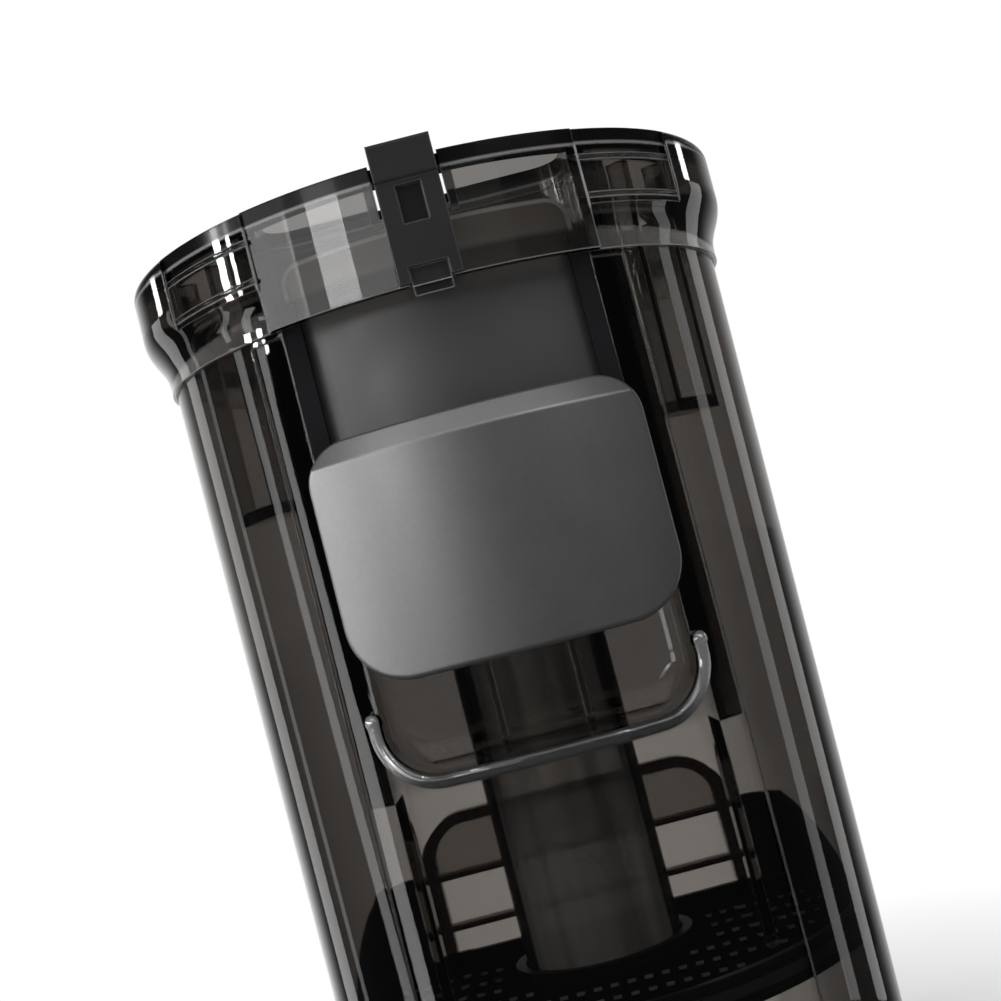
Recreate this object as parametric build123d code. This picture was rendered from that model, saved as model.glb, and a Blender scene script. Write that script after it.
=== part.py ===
from build123d import *
import os
from math import cos, hypot, radians, sin, sqrt, tan

# Water tank of a wet floor cleaner, in millimetres.
# The tank's upright axis is Z, the table is z = 0 and the latch faces -Y.

# Tank body: a round front with a flat back that widens upwards
BASE_RADIUS = 55.0
BASE_BACK = 33.0
BACK_CORNER = 11.0
DRAFT = 0.75
WALL = 2.4
SKIRT_HEIGHT = 3.0
FLOOR_THICKNESS = 3.0
SHELL_TOP = 191.5
FRONT_PANEL_HALF = 35.0
FRONT_PANEL_DEPTH = 0.6

# Niche for the latch in the front wall, with a bead round its lower lip
NICHE_HALF = 28.5
NICHE_DEPTH = 26.0
NICHE_DROP = 100.8
NICHE_CORNER = 9.0
NICHE_WALL = 2.2
NICHE_FILLET = 5.0
BEAD_WIDTH = 2.6
BEAD_PROUD = 1.3
BEAD_RISE = 2.1
BEAD_ROUND = 1.1
BEAD_END = 1.6
NICHE_RIB_X = 8.2
NICHE_RIB = 1.2
NICHE_RIB_PROUD = 1.4
CORNER_RIB = 3.4
CORNER_RIB_BEHIND = 6.6
CORNER_RIB_DROP = 4.0

# Top collar: a cap on the shell with flared sides and a band across the niche
CAP_HEIGHT = 4.5
COLLAR_SKIRT = 17.7
COLLAR_GAP = 0.15
BAND_THICKNESS = 2.0
FLARE = 4.0
FLARE_EDGE = 0.7
CROWN = 2.4
MOUTH_INSET = 4.6
EAR_HALF = 30.6
SIDE_HALF = 49.0
SIDE_STEP = 1.1
RIDGE_DROPS = (5.6, 12.7)
RIDGE_ROUND = 0.45
FLANGE_THICKNESS = 2.2
FLANGE_REACH = 7.7
WEB_THICKNESS = 1.5
WEB_HEIGHT = 7.6

# Latch: slider, pad and bolt move down together
TRAVEL = 5.0
SLIDE_GAP = 0.5
PANEL_INSET = 2.0
PANEL_THICKNESS = 2.0
PANEL_HALF = 26.6
PANEL_LIFT = 12.2
PANEL_TOP_DROP = 10.5
PANEL_CORNER = 4.0
PAD_THICKNESS = 4.8
PAD_HALF = 30.2
PAD_HEIGHT = 43.6
PAD_WALL = 2.2
PAD_TOP_CORNER = 8.0
PAD_LOW_CORNER = 11.0
PAD_BEVEL = 4.2
PAD_EDGE = 0.9
BOLT_HALF = 5.7
BOLT_THICKNESS = 2.0
BOLT_PROUD = 2.8
TAB_HEIGHT = 7.0
TAB_DEPTH = 4.6
TAB_BEVEL = 1.0
TAB_STEP = 0.7
TAB_ROUND = 0.6
WINDOW_HALF = 2.3
WINDOW_HEIGHT = 6.8
WINDOW_DROP = 0.9
WINDOW_DEPTH = 0.8
ARM_HALF = 3.5
ARM_HEIGHT = 3.4
ARM_RISE = 2.8
ARM_BITE = 0.4

# Pad screws
SCREW_X = 19.0
SCREW_PITCH = 20.0
SCREW_LOW = 18.2
SCREW_RADIUS = 1.25
SCREW_FIT = 0.05
SCREW_HEAD_RADIUS = 2.3
SCREW_HEAD = 1.6
SCREW_BITE = 5.5
SCREW_SEAT = 3.4

# Slider guides
GUIDE_OVERLAP = 1.6
GUIDE_LIP = 1.5
GUIDE_TOP_DROP = 13.5
GUIDE_FOOT = 8.0

# Return springs
SPRING_X = 13.0
SPRING_BEHIND = 11.5
SPRING_RADIUS = 2.9
SPRING_WIRE = 0.3
SPRING_LENGTH = 20.0
SPRING_TURNS = 7.5
PIN_RADIUS = 1.9
PIN_LENGTH = 6.0
SHELF_HALF = 18.5
SHELF_THICKNESS = 2.5
SHELF_LIFT = 2.7

# Inlet, standpipe and their seals
INLET_RADIUS = 11.5
SPIGOT_WALL = 2.2
SPIGOT_HEIGHT = 9.0
PIPE_FIT = 0.1
PIPE_WALL = 2.4
PIPE_TOP_Z = 152.0
RING_RADIUS = 0.8
RING_FIT = 0.06
GASKET_WIDTH = 4.0
GASKET_DROP = 2.0
GASKET_FIT = 0.1

# Strainer
STRAINER_Z = 42.0
SCREEN_THICKNESS = 1.8
FRAME_WIDTH = 3.6
FRAME_DROP = 4.4
FRAME_RISE = 1.8
FRAME_FIT = 1.0
SEAL_LIP = 0.7
SEAL_HEIGHT = 2.0
FERRULE_WALL = 2.0
FERRULE_RISE = 2.4
FERRULE_FIT = 0.4
SLOT_WIDTH = 1.6
SLOT_LENGTH = 6.4
SLOT_PITCH_X = 3.3
SLOT_PITCH_Y = 9.4
HANDLE_HALF = 33.5
HANDLE_HEIGHT = 33.2
HANDLE_CORNER = 10.0
HANDLE_BORDER = 2.4
HANDLE_BAR = 1.2
HANDLE_DEPTH = 4.5
HANDLE_WEB = 1.2
HANDLE_BAR_Z = 20.0
HANDLE_RAIL_Z = 9.0
HANDLE_BACK = 2.6
WING_RISE = 20.0
WING_WALL = 1.6
WING_FRONT = 8.0

# Ribs and pockets inside the shell
LUG_ANGLES = (-140.0, -62.0, 62.0, 140.0)
LUG_REACH = 4.0
LUG_THICKNESS = 3.0
FIN_X = 28.6
FIN_THICKNESS = 1.8
FIN_REACH = 7.0
FIN_POINT = 9.0
POCKET_ANGLE = 50.0
POCKET_WIDTH = 13.0
POCKET_DEPTH = 7.0
POCKET_Z = 145.0
POCKET_LEDGE = 2.2
POCKET_RIB = 1.5
POCKET_RIB_REACH = 3.0

OVER = 1.0

# Heights and radii that follow from the sizes above
FLOOR_TOP = SKIRT_HEIGHT + FLOOR_THICKNESS
RIM_Z = SHELL_TOP + CAP_HEIGHT
NICHE_BACK = BASE_RADIUS - NICHE_DEPTH
NICHE_FLOOR_Z = SHELL_TOP - NICHE_DROP
PANEL_RADIUS = BASE_RADIUS - PANEL_INSET
SPRING_Y = PANEL_RADIUS - SPRING_BEHIND
COLLAR_LOW = SHELL_TOP - COLLAR_SKIRT
PANEL_TOP = RIM_Z - PANEL_TOP_DROP
BEAD_TOP = NICHE_FLOOR_Z + NICHE_CORNER + BEAD_RISE
PAD_LOW = BEAD_TOP + TRAVEL + 2 * SLIDE_GAP
PAD_TOP = PAD_LOW + PAD_HEIGHT
PANEL_LOW = PAD_LOW + PANEL_LIFT
ARM_TOP = COLLAR_LOW + ARM_RISE
ARM_LOW = ARM_TOP - ARM_HEIGHT
TAB_TOP = RIM_Z + BOLT_PROUD
TAB_LOW = TAB_TOP - TAB_HEIGHT
SHELF_TOP = PAD_LOW + SHELF_LIFT + SHELF_THICKNESS
LUG_TOP = STRAINER_Z - FRAME_DROP
PIPE_INNER = INLET_RADIUS + SPIGOT_WALL + PIPE_FIT
PIPE_OUTER = PIPE_INNER + PIPE_WALL
FERRULE_INNER = PIPE_OUTER + FERRULE_FIT


def radius_at(height):
    """Outer radius of the round front at a height."""
    return BASE_RADIUS + height * tan(radians(DRAFT))


def back_at(height):
    """Distance from the axis to the flat back at a height."""
    return BASE_BACK + height * tan(radians(DRAFT))


BAND_OUTER = radius_at(RIM_Z) + COLLAR_GAP + BAND_THICKNESS
PAD_INNER = radius_at(PAD_TOP) + SLIDE_GAP
PAD_OUTER = PAD_INNER + PAD_THICKNESS
BOLT_BACK = BAND_OUTER + SLIDE_GAP
BOLT_FRONT = BOLT_BACK + BOLT_THICKNESS
TAB_BACK = BOLT_FRONT - TAB_DEPTH
PANEL_INNER = PANEL_RADIUS - PANEL_THICKNESS
SEAT_FRONT = sqrt(PANEL_RADIUS**2 - (SCREW_X - SCREW_SEAT) ** 2) + 0.3
SEAT_REAR = sqrt(PANEL_INNER**2 - (SCREW_X + SCREW_SEAT) ** 2) - 0.3


def block(x0, x1, y0, y1, z0, z1):
    """Upright box between two corners."""
    middle = Pos((x0 + x1) / 2, (y0 + y1) / 2, (z0 + z1) / 2)
    return middle * Box(abs(x1 - x0), abs(y1 - y0), abs(z1 - z0))


def post(radius, z0, z1, x=0.0, y=0.0):
    """Upright cylinder between two heights."""
    return Pos(x, y, (z0 + z1) / 2) * Cylinder(radius, z1 - z0)


def tube(outer, inner, z0, z1):
    """Upright tube on the axis."""
    return post(outer, z0, z1) - post(inner, z0 - OVER, z1 + OVER)


def dowel(radius, y0, y1, x, z):
    """Cylinder that lies along Y."""
    return Pos(x, (y0 + y1) / 2, z) * Rot(90, 0, 0) * Cylinder(radius, abs(y1 - y0))


def d_outline(radius, back, corner):
    """Circle with a flat back and rounded back corners."""
    behind = Pos(0, back + radius) * Rectangle(4 * radius, 2 * radius)
    outline = Circle(radius) - behind
    return fillet(outline.vertices().sort_by(Axis.Y)[-2:], corner)


def tank_form(low, high, grow=0.0):
    """The tank's own form between two heights, made larger or smaller all round."""
    outline = d_outline(radius_at(low) + grow, back_at(low) + grow, BACK_CORNER + grow)
    return extrude(Pos(0, 0, low) * outline, amount=high - low, taper=-DRAFT)


def d_prism(low, high, grow, at):
    """Straight prism with the tank's section at one height."""
    outline = d_outline(radius_at(at) + grow, back_at(at) + grow, BACK_CORNER + grow)
    return extrude(Pos(0, 0, low) * outline, amount=high - low)


def front_outline(half, low, high, low_corner, high_corner):
    """Rectangle in the front view with its own corner radii below and above."""
    outline = Pos(0, (low + high) / 2) * Rectangle(2 * half, high - low)
    if low_corner:
        outline = fillet(outline.vertices().sort_by(Axis.Y)[:2], low_corner)
    if high_corner:
        outline = fillet(outline.vertices().sort_by(Axis.Y)[-2:], high_corner)
    return outline


def front_prism(outline, near, far):
    """Front view outline pushed out from one distance before the axis to another."""
    return extrude(Plane.XZ.offset(near) * outline, amount=far - near)


def niche_form(grow=0.0):
    """The hollow of the niche, or the block that holds its walls."""
    top = RIM_Z + 9 * OVER
    outline = front_outline(NICHE_HALF + grow, NICHE_FLOOR_Z - grow, top, NICHE_CORNER + grow, 0)
    hollow = front_prism(outline, NICHE_BACK - grow, BASE_RADIUS + NICHE_BACK)
    back_edges = hollow.faces().sort_by(Axis.Y)[-1].edges().filter_by(lambda e: e.center().Z < RIM_Z)
    return fillet(back_edges, NICHE_FILLET + grow)


def turned(angle, shape):
    """Shape turned about the axis, from the front towards +X."""
    return Rot(0, 0, angle) * shape


def make_lip_bead():
    """Rounded rim that stands out round the lower lip of the niche."""
    outline = front_outline(
        NICHE_HALF + BEAD_WIDTH, NICHE_FLOOR_Z - BEAD_WIDTH, BEAD_TOP, NICHE_CORNER + BEAD_WIDTH, 0
    )
    low = NICHE_FLOOR_Z - 2 * BEAD_WIDTH
    high = BEAD_TOP + OVER
    skin = tank_form(low, high, BEAD_PROUD) - tank_form(low - OVER, high + OVER, -WALL / 2)
    bead = (front_prism(outline, NICHE_BACK, BASE_RADIUS + NICHE_BACK) & skin) - niche_form()
    face = bead.faces().filter_by(GeomType.CONE).sort_by(lambda f: hypot(f.center().X, f.center().Y))[-1]
    bead = fillet(face.edges(), BEAD_ROUND)
    end_x = NICHE_HALF + BEAD_WIDTH / 2
    end_y = sqrt(radius_at(BEAD_TOP) ** 2 - end_x**2)
    for side in (-1, 1):
        bead = bead + Pos(side * end_x, -end_y, BEAD_TOP) * Sphere(BEAD_END)
    return bead


def make_side_pockets():
    """Open-topped pockets with a ledge on both side walls."""
    pockets = []
    outer = radius_at(POCKET_Z) - WALL / 2
    inner = radius_at(POCKET_Z) - WALL - POCKET_DEPTH
    for side in (-1, 1):
        half = POCKET_WIDTH / 2
        ledge = block(-half, half, -outer, -inner, POCKET_Z - POCKET_LEDGE, POCKET_Z)
        ledge = fillet(ledge.edges().filter_by(Axis.Z).sort_by(Axis.Y)[-2:], POCKET_DEPTH / 2)
        shape = ledge
        for edge in (-1, 1):
            start = edge * half
            rib = block(
                start, start - edge * POCKET_RIB, -outer, -inner - POCKET_DEPTH + POCKET_RIB_REACH,
                POCKET_Z - POCKET_LEDGE / 2, SHELL_TOP - OVER,
            )
            shape = shape + rib
        pockets.append(turned(side * POCKET_ANGLE, shape))
    return pockets


def make_front_fins():
    """Upright fins with pointed tops inside the front wall below the niche."""
    fins = []
    top = NICHE_FLOOR_Z - NICHE_WALL
    wall_y = sqrt((radius_at(STRAINER_Z) - WALL / 2) ** 2 - FIN_X**2)
    low = STRAINER_Z + FRAME_RISE + FIN_POINT / 4
    inner_y = -wall_y + FIN_REACH
    corners = [(-wall_y, low), (inner_y, low), (inner_y, top - FIN_POINT), (-wall_y, top)]
    profile = Polygon(*corners, align=None)
    for side in (-1, 1):
        fin = extrude(Plane.YZ * profile, amount=FIN_THICKNESS / 2, both=True)
        fins.append(Pos(side * FIN_X, 0, 0) * fin)
    return fins


def make_strainer_lugs():
    """Upright ribs on the inner wall that carry the strainer."""
    lugs = []
    for angle in LUG_ANGLES:
        outer = radius_at(0) - WALL / 2
        if abs(angle) > 90:
            outer = min(outer, (back_at(0) - WALL / 2) / cos(radians(180 - abs(angle))))
        half = LUG_THICKNESS / 2
        inner = outer - WALL / 2 - LUG_REACH
        lugs.append(turned(angle, block(-half, half, -outer, -inner, FLOOR_TOP - OVER / 2, LUG_TOP)))
    return lugs


def make_niche_ribs():
    """Two upright ribs on the back wall of the niche below the shelf."""
    near = NICHE_BACK - NICHE_WALL / 2
    far = NICHE_BACK + NICHE_RIB_PROUD
    low = NICHE_FLOOR_Z - NICHE_WALL / 2
    ribs = []
    for side in (-1, 1):
        start = side * (NICHE_RIB_X - NICHE_RIB / 2)
        end = side * (NICHE_RIB_X + NICHE_RIB / 2)
        ribs.append(block(start, end, -far, -near, low, SHELF_TOP - SHELF_THICKNESS / 2))
    return ribs


def make_corner_ribs():
    """Upright ribs that fill the corners between the niche's side walls and the front wall."""
    low = NICHE_FLOOR_Z - CORNER_RIB_DROP
    high = SHELL_TOP - OVER
    wall = tank_form(low, high, -WALL / 2)
    ribs = []
    for side in (-1, 1):
        start = side * (NICHE_HALF + NICHE_WALL / 2)
        end = side * (NICHE_HALF + NICHE_WALL + CORNER_RIB)
        rib = block(start, end, -2 * BASE_RADIUS, -NICHE_BACK - CORNER_RIB_BEHIND, low, high)
        ribs.append((rib & wall) - niche_form(NICHE_WALL / 2))
    return ribs


def make_spring_shelf():
    """Ledge on the niche wall that carries the springs on two pins."""
    front = SPRING_Y + SPRING_RADIUS + 2 * SPRING_WIRE + OVER
    rear = NICHE_BACK - NICHE_WALL / 2
    shelf = block(-SHELF_HALF, SHELF_HALF, -front, -rear, SHELF_TOP - SHELF_THICKNESS, SHELF_TOP)
    pin_top = SHELF_TOP + PIN_LENGTH / 2
    for side in (-1, 1):
        shelf = shelf + post(PIN_RADIUS, SHELF_TOP - OVER / 2, pin_top, side * SPRING_X, -SPRING_Y)
    return shelf


def make_tank_shell():
    """Smoked vessel with the niche, the inlet spigot and all that is moulded with it."""
    body = tank_form(0, SHELL_TOP)
    panel = block(-FRONT_PANEL_HALF, FRONT_PANEL_HALF, -2 * BASE_RADIUS, 0, -OVER, COLLAR_LOW - OVER)
    body = body - (panel - tank_form(-2 * OVER, COLLAR_LOW, -FRONT_PANEL_DEPTH))
    cavity = tank_form(FLOOR_TOP, SHELL_TOP + OVER, -WALL) - niche_form(NICHE_WALL)
    body = body - cavity - niche_form()
    body = body - tank_form(-OVER, SKIRT_HEIGHT, -WALL)
    body = body + make_lip_bead() + make_spring_shelf()
    extras = make_side_pockets() + make_front_fins() + make_strainer_lugs()
    for extra in extras + make_niche_ribs() + make_corner_ribs():
        body = body + extra
    spigot = post(INLET_RADIUS + SPIGOT_WALL, 0, FLOOR_TOP + SPIGOT_HEIGHT)
    groove_z = FLOOR_TOP + SPIGOT_HEIGHT / 2
    groove_inner = PIPE_INNER - 2 * RING_RADIUS - 2 * RING_FIT
    groove_half = RING_RADIUS + RING_FIT
    groove = tube(PIPE_OUTER, groove_inner, groove_z - groove_half, groove_z + groove_half)
    body = body + (spigot - groove)
    return body - post(INLET_RADIUS, -OVER, FLOOR_TOP + SPIGOT_HEIGHT + OVER)


def flare_profile():
    """Half section of the collar's outside, from a thin lower edge to the flared crown."""
    low = radius_at(COLLAR_LOW) + COLLAR_GAP + FLARE_EDGE
    wide = radius_at(COLLAR_LOW) + FLARE
    bend_low = COLLAR_LOW + 0.08 * (RIM_Z - COLLAR_LOW)
    bend_high = COLLAR_LOW + 0.55 * (RIM_Z - COLLAR_LOW)
    crown_z = RIM_Z - CROWN
    sweep_line = Spline((low, bend_low), (wide, bend_high), tangents=[(0, 1), (0, 1)])
    lean = CROWN * sin(radians(45))
    crown = ThreePointArc((wide, crown_z), (wide - CROWN + lean, crown_z + lean), (wide - CROWN, RIM_Z))
    outline = [
        Line((0, COLLAR_LOW), (low, COLLAR_LOW)),
        Line((low, COLLAR_LOW), (low, bend_low)),
        sweep_line,
        Line((wide, bend_high), (wide, crown_z)),
        crown,
        Line((wide - CROWN, RIM_Z), (0, RIM_Z)),
        Line((0, RIM_Z), (0, COLLAR_LOW)),
    ]
    return make_face(outline)


def make_top_collar():
    """Smoked ring on the shell: cap, flared ears, band over the niche, flange with its slot."""
    high = RIM_Z + OVER
    wide = radius_at(COLLAR_LOW) + FLARE
    ring = revolve(Plane.XZ * flare_profile(), axis=Axis.Z)
    back = back_at(SHELL_TOP) + COLLAR_GAP + BAND_THICKNESS
    outline = d_outline(wide + OVER, back, BACK_CORNER + BAND_THICKNESS)
    ring = ring & extrude(Pos(0, 0, COLLAR_LOW) * outline, amount=RIM_Z - COLLAR_LOW)
    side_trim = block(-SIDE_HALF, SIDE_HALF, -2 * BASE_RADIUS, 0, COLLAR_LOW - OVER, high)
    ring = ring - (side_trim - post(wide - SIDE_STEP, COLLAR_LOW - 2 * OVER, high + OVER))
    band_trim = block(-EAR_HALF, EAR_HALF, -2 * BASE_RADIUS, 0, COLLAR_LOW - OVER, high)
    ring = ring - (band_trim - post(BAND_OUTER, COLLAR_LOW - 2 * OVER, high + OVER))
    ring = ring + (post(BAND_OUTER, COLLAR_LOW, RIM_Z) & band_trim)
    for drop in RIDGE_DROPS:
        ridge = Pos(0, 0, RIM_Z - drop) * Torus(wide - SIDE_STEP, RIDGE_ROUND)
        ring = ring + ((ridge & side_trim) - band_trim)
    ring = ring - tank_form(COLLAR_LOW - OVER, SHELL_TOP, COLLAR_GAP)
    ring = ring - (tank_form(SHELL_TOP - OVER, high, -MOUTH_INSET) - niche_form(NICHE_WALL))
    ring = ring - (niche_form() & tank_form(COLLAR_LOW - OVER, high, COLLAR_GAP))
    slot_inner = BAND_OUTER - FLANGE_REACH
    flange = tube(BAND_OUTER - OVER, slot_inner, RIM_Z - FLANGE_THICKNESS, RIM_Z)
    reach = NICHE_HALF + OVER
    flange = flange & block(-reach, reach, -2 * BASE_RADIUS, -NICHE_BACK, COLLAR_LOW, high)
    ring = ring + flange
    notch_half = BOLT_HALF + SLIDE_GAP
    for side in (-1, 1):
        start = side * (notch_half + WEB_THICKNESS)
        web = block(
            side * notch_half, start, -radius_at(SHELL_TOP) - COLLAR_GAP - OVER / 2, -slot_inner - OVER,
            RIM_Z - FLANGE_THICKNESS - WEB_HEIGHT, RIM_Z - FLANGE_THICKNESS / 2,
        )
        ring = ring + web
    notch_low = TAB_LOW - TRAVEL - SLIDE_GAP
    ring = ring - block(-notch_half, notch_half, -2 * BASE_RADIUS, -TAB_BACK + SLIDE_GAP, notch_low, high)
    arm_half = ARM_HALF + SLIDE_GAP
    arm_high = ARM_TOP + SLIDE_GAP
    return ring - block(-arm_half, arm_half, -2 * BASE_RADIUS, -NICHE_BACK, COLLAR_LOW - OVER, arm_high)


def make_suction_pipe():
    """Standpipe that stands on the floor over the spigot."""
    return tube(PIPE_OUTER, PIPE_INNER, FLOOR_TOP, PIPE_TOP_Z)


def make_pipe_seal():
    """O-ring in the spigot's groove."""
    centre = PIPE_INNER - RING_RADIUS - RING_FIT
    return Pos(0, 0, FLOOR_TOP + SPIGOT_HEIGHT / 2) * Torus(centre, RING_RADIUS)


def make_inlet_gasket():
    """Flat ring under the floor round the inlet."""
    inner = INLET_RADIUS + SPIGOT_WALL + GASKET_FIT
    ring = tube(inner + GASKET_WIDTH, inner, SKIRT_HEIGHT - GASKET_DROP, SKIRT_HEIGHT)
    lower = ring.faces().sort_by(Axis.Z)[0].edges()
    return chamfer(lower, GASKET_DROP / 4)


def frame_grow():
    """How far the strainer frame stays inside the tank's outer form."""
    return -WALL - FRAME_FIT


def make_strainer_wings():
    """Walls on the rim that rise from the sides to the back corners beside the handle."""
    at = STRAINER_Z - FRAME_DROP
    low = STRAINER_Z + FRAME_RISE / 2
    high = STRAINER_Z + WING_RISE
    wall = d_prism(low, high, frame_grow(), at)
    wall = wall - d_prism(low - OVER, high + OVER, frame_grow() - WING_WALL, at)
    back = back_at(at) + OVER
    start = STRAINER_Z + FRAME_RISE
    corners = [(-WING_FRONT, low), (back, low), (back, high), (back - BACK_CORNER, high), (-WING_FRONT, start)]
    side_view = extrude(Plane.YZ * Polygon(*corners, align=None), amount=2 * BASE_RADIUS, both=True)
    middle = HANDLE_HALF + SLIDE_GAP
    return (wall & side_view) - block(-middle, middle, 0, 2 * BASE_RADIUS, low - OVER, high + OVER)


def make_strainer_frame():
    """Rim with a ledge for the screen, and a ferrule round the standpipe on four spokes."""
    low = STRAINER_Z - FRAME_DROP
    high = STRAINER_Z + FRAME_RISE
    ledge_z = STRAINER_Z - SCREEN_THICKNESS
    rim = d_prism(low, high, frame_grow(), low)
    rim = rim - d_prism(ledge_z, high + OVER, frame_grow() - FRAME_WIDTH / 2, low)
    rim = rim - d_prism(low - OVER, ledge_z + OVER, frame_grow() - FRAME_WIDTH, low)
    half = FRAME_WIDTH / 2
    reach_x = radius_at(low) + frame_grow() - half / 2
    reach_y = back_at(low) + frame_grow() - half / 2
    spokes = block(-reach_x, reach_x, -half, half, low, ledge_z)
    spokes = spokes + block(-half, half, -reach_x, reach_y, low, ledge_z)
    frame = rim + (spokes - post(FERRULE_INNER + OVER, low - OVER, high))
    frame = frame + tube(FERRULE_INNER + FERRULE_WALL, FERRULE_INNER, low, STRAINER_Z + FERRULE_RISE)
    frame = frame + make_strainer_wings()
    groove_low = STRAINER_Z - FRAME_DROP / 2
    groove = d_prism(groove_low, groove_low + SEAL_HEIGHT, OVER, low)
    return frame - (groove - d_prism(groove_low - OVER, high, frame_grow() - SEAL_LIP, low))


def make_strainer_seal():
    """Rubber ring in the groove round the frame."""
    low = STRAINER_Z - FRAME_DROP / 2
    at = STRAINER_Z - FRAME_DROP
    ring = d_prism(low, low + SEAL_HEIGHT, frame_grow() + SEAL_LIP, at)
    return ring - d_prism(low - OVER, low + SEAL_HEIGHT + OVER, frame_grow() - SEAL_LIP, at)


def slot_places(limit, back):
    """Middles of the screen's slots that lie clear of rim, handle and ferrule."""
    places = []
    clear = FERRULE_INNER + FERRULE_WALL + SLOT_WIDTH
    columns = int(limit / SLOT_PITCH_X)
    rows = int(limit / SLOT_PITCH_Y)
    for row in range(-rows, rows + 1):
        y = row * SLOT_PITCH_Y
        for column in range(-columns, columns + 1):
            x = column * SLOT_PITCH_X
            far = hypot(abs(x) + SLOT_WIDTH / 2, abs(y) + SLOT_LENGTH / 2)
            near = hypot(max(abs(x) - SLOT_WIDTH / 2, 0), max(abs(y) - SLOT_LENGTH / 2, 0))
            if far < limit and near > clear and y + SLOT_LENGTH / 2 < back:
                places.append((x, y))
    return places


def make_strainer_screen():
    """Perforated plate that drops into the frame round the ferrule."""
    at = STRAINER_Z - FRAME_DROP
    grow = frame_grow() - FRAME_WIDTH / 2 - SLIDE_GAP / 5
    outline = d_outline(radius_at(at) + grow, back_at(at) + grow, BACK_CORNER + grow)
    outline = outline - Circle(FERRULE_INNER + FERRULE_WALL + SLIDE_GAP / 5)
    back = back_at(at) + frame_grow() - FRAME_WIDTH - HANDLE_BACK - HANDLE_DEPTH
    places = slot_places(radius_at(at) + frame_grow() - FRAME_WIDTH - SLOT_WIDTH / 2, back)
    slots = [Pos(x, y) * Rectangle(SLOT_WIDTH, SLOT_LENGTH) for x, y in places]
    outline = outline - slots
    return extrude(Pos(0, 0, STRAINER_Z - SCREEN_THICKNESS) * outline, amount=SCREEN_THICKNESS)


def make_strainer_handle():
    """Arched plate with a finger gap that stands on the back of the screen."""
    near = -(back_at(STRAINER_Z) - WALL - FRAME_FIT - FRAME_WIDTH - HANDLE_BACK)
    low = STRAINER_Z
    high = STRAINER_Z + HANDLE_HEIGHT
    bar = STRAINER_Z + HANDLE_BAR_Z
    rail = STRAINER_Z + HANDLE_RAIL_Z
    border = HANDLE_BORDER
    half_bar = HANDLE_BAR / 2
    arch = front_prism(front_outline(HANDLE_HALF, low, high, 0, HANDLE_CORNER), near, near + HANDLE_DEPTH)
    inner_half = HANDLE_HALF - border
    top_hole = front_outline(inner_half, bar + half_bar, high - border, 0, HANDLE_CORNER - border)
    mid_hole = front_outline(inner_half, rail + half_bar, bar - half_bar, 0, 0)
    low_hole = front_outline(inner_half, low - OVER, rail - half_bar, 0, 0)
    for hole in (top_hole, mid_hole, low_hole):
        arch = arch - front_prism(hole, near - OVER, near + HANDLE_DEPTH + OVER)
    middle = near + HANDLE_DEPTH / 2
    web_corner = HANDLE_CORNER - border / 2
    web = front_outline(HANDLE_HALF - border / 2, bar, high - border / 2, 0, web_corner)
    return arch + front_prism(web, middle - HANDLE_WEB / 2, middle + HANDLE_WEB / 2)


def make_slider_guide(side):
    """Channel on the niche's side wall that holds one edge of the slider."""
    edge_near = sqrt(PANEL_INNER**2 - PANEL_HALF**2)
    edge_far = sqrt(PANEL_RADIUS**2 - (PANEL_HALF - GUIDE_OVERLAP) ** 2)
    groove_near = edge_near - SLIDE_GAP
    groove_far = edge_far + SLIDE_GAP
    high = SHELL_TOP - GUIDE_TOP_DROP
    inner = PANEL_HALF - GUIDE_OVERLAP
    low = PANEL_LOW - GUIDE_FOOT
    guide = block(inner, NICHE_HALF, -groove_far - GUIDE_LIP, -groove_near + GUIDE_LIP, low, high)
    groove_end = PANEL_HALF + SLIDE_GAP
    guide = guide - block(inner - OVER, groove_end, -groove_far, -groove_near, low - OVER, high + OVER)
    if side < 0:
        guide = mirror(guide, about=Plane.YZ)
    return guide


def screw_places():
    """Front view middles of the four pad screws."""
    low = PAD_LOW + SCREW_LOW
    return [(side * SCREW_X, low + row * SCREW_PITCH) for side in (-1, 1) for row in (0, 1)]


def make_latch_slider():
    """Curved panel with spring lug, screw seats and the arm that reaches under the band."""
    outline = front_outline(PANEL_HALF, PANEL_LOW, PANEL_TOP, PANEL_CORNER, PANEL_CORNER)
    prism = front_prism(outline, NICHE_BACK, BASE_RADIUS + NICHE_BACK)
    slider = prism & tube(PANEL_RADIUS, PANEL_INNER, PANEL_LOW - OVER, PANEL_TOP + OVER)
    lug_low = SHELF_TOP + SPRING_LENGTH
    lug_near = SPRING_Y - SPRING_RADIUS - 2 * SPRING_WIRE - OVER / 2
    lug_high = lug_low + SHELF_THICKNESS
    lug = block(-SHELF_HALF, SHELF_HALF, -PANEL_RADIUS, -lug_near, lug_low, lug_high)
    middle = PANEL_RADIUS - PANEL_THICKNESS / 2
    slider = slider + (lug & post(middle, lug_low - OVER, lug_high + OVER))
    pin_low = lug_low - PIN_LENGTH
    for side in (-1, 1):
        slider = slider + post(PIN_RADIUS, pin_low, lug_low + OVER, side * SPRING_X, -SPRING_Y)
    slider = slider + block(-ARM_HALF, ARM_HALF, -BOLT_BACK - ARM_BITE, -middle, ARM_LOW, ARM_TOP)
    for x, z in screw_places():
        slider = slider + dowel(SCREW_SEAT, -SEAT_FRONT, -SEAT_REAR, x, z)
    for x, z in screw_places():
        slider = slider - dowel(SCREW_RADIUS + 2 * SCREW_FIT, -SEAT_FRONT - OVER, -SEAT_REAR + OVER, x, z)
    return slider


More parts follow.
